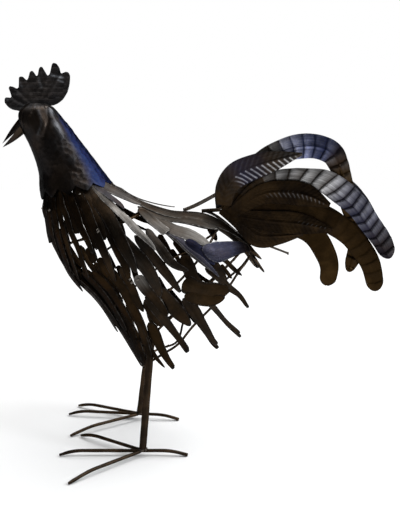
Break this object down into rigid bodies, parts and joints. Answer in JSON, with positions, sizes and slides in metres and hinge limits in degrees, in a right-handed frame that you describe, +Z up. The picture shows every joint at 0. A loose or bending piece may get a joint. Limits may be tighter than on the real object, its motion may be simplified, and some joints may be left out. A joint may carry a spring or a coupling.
{
  "type": "rooster sculpture",
  "caption": "Standing rooster sculpture in dark painted sheet metal: hollow hammered neck, wire hoop cage clad in lance-shaped strips, curved blade tail feathers, rod legs and toes.",
  "frame": {"origin": "centre of the bounding box on the ground, under the feet", "axes": "+Z up; the rooster looks towards -X, its tail points to +X, its left side is at -Y"},
  "size_m": [0.5104, 0.2586, 0.4985],
  "materials": {
    "neck_metal": "hammered, semi-gloss near-black bronze",
    "strip_metal": "dark bronze sheet with worn grey glints",
    "feather_metal": "dark sheet with a blue heat sheen and bright ridges",
    "rod_metal": "dark brown, satin"
  },
  "bodies": {
    "root": {"neck_shell": "neck_metal", "comb": "neck_metal", "beak_upper": "neck_metal", "beak_lower": "neck_metal", "hoop_neck": "rod_metal", "hoop_breast": "rod_metal", "hoop_flank": "rod_metal", "hoop_leg": "rod_metal", "hoop_rear": "rod_metal", "tail_brace_upper": "rod_metal", "tail_brace_lower": "rod_metal", "tail_tine": "rod_metal", "leg_left": "rod_metal", "toe_left_long": "rod_metal", "toe_left_outer": "rod_metal", "toe_left_inner": "rod_metal", "leg_right": "rod_metal", "toe_right_long": "rod_metal", "toe_right_outer": "rod_metal", "toe_right_inner": "rod_metal", "breast_fringe": "strip_metal", "belly_fringe": "strip_metal", "thigh_fringe": "strip_metal", "back_strip_raised": "strip_metal", "hackle_strip_left_1": "strip_metal", "flank_strip_left_1": "strip_metal", "hackle_strip_left_2": "strip_metal", "flank_strip_left_2": "strip_metal", "hackle_strip_left_3": "strip_metal", "flank_strip_left_3": "strip_metal", "hackle_strip_left_4": "strip_metal", "flank_strip_left_4": "strip_metal", "saddle_strip_left": "strip_metal", "rump_strip_left_1": "strip_metal", "rump_strip_left_2": "strip_metal", "rump_plate_left": "strip_metal", "hackle_strip_right_1": "strip_metal", "flank_strip_right_1": "strip_metal", "hackle_strip_right_2": "strip_metal", "flank_strip_right_2": "strip_metal", "hackle_strip_right_3": "strip_metal", "flank_strip_right_3": "strip_metal", "hackle_strip_right_4": "strip_metal", "flank_strip_right_4": "strip_metal", "saddle_strip_right": "strip_metal", "rump_strip_right_1": "strip_metal", "rump_strip_right_2": "strip_metal", "rump_plate_right": "strip_metal", "sickle_arch": "feather_metal", "sickle_long_left": "feather_metal", "sickle_long_right": "feather_metal", "sickle_low_left": "feather_metal", "sickle_low_right": "feather_metal", "sickle_inner_left": "feather_metal", "lance_front_left": "feather_metal", "lance_middle_left": "feather_metal", "lance_low_left": "feather_metal", "lance_under_left": "feather_metal", "lance_front_right": "feather_metal", "lance_under_right": "feather_metal"}
  },
  "joints": []
}
